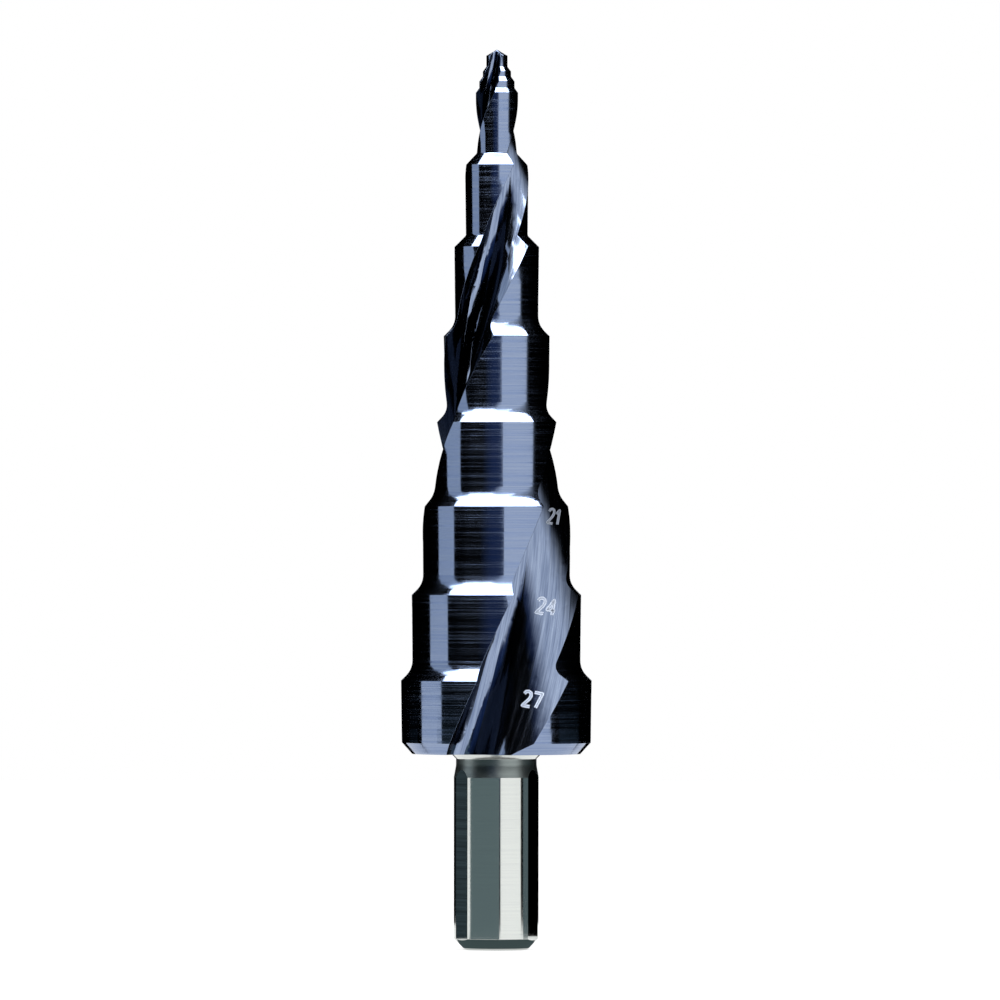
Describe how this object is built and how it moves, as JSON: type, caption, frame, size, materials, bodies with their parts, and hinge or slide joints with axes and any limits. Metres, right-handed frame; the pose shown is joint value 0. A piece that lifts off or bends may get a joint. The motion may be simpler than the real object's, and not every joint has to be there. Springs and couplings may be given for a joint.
{
  "type": "step drill",
  "caption": "Stepped drill bit with helical flutes, a short pointed pilot and a round shank with flats, for drilling and widening holes in sheet metal.",
  "frame": {"origin": "centre of the flat end of the shank, which the drill stands on", "axes": "+Z along the drill's axis, from the shank to the point; the front of the picture's view is -Y and its right is +X"},
  "size_m": [0.027, 0.0264, 0.1273],
  "materials": {
    "coated_steel": "ground high-speed steel with a thin dark blue-black hard coating on the cutting part; the shank is the same steel, bare and bright"
  },
  "bodies": {
    "root": {"step_drill": "coated_steel"}
  },
  "joints": []
}
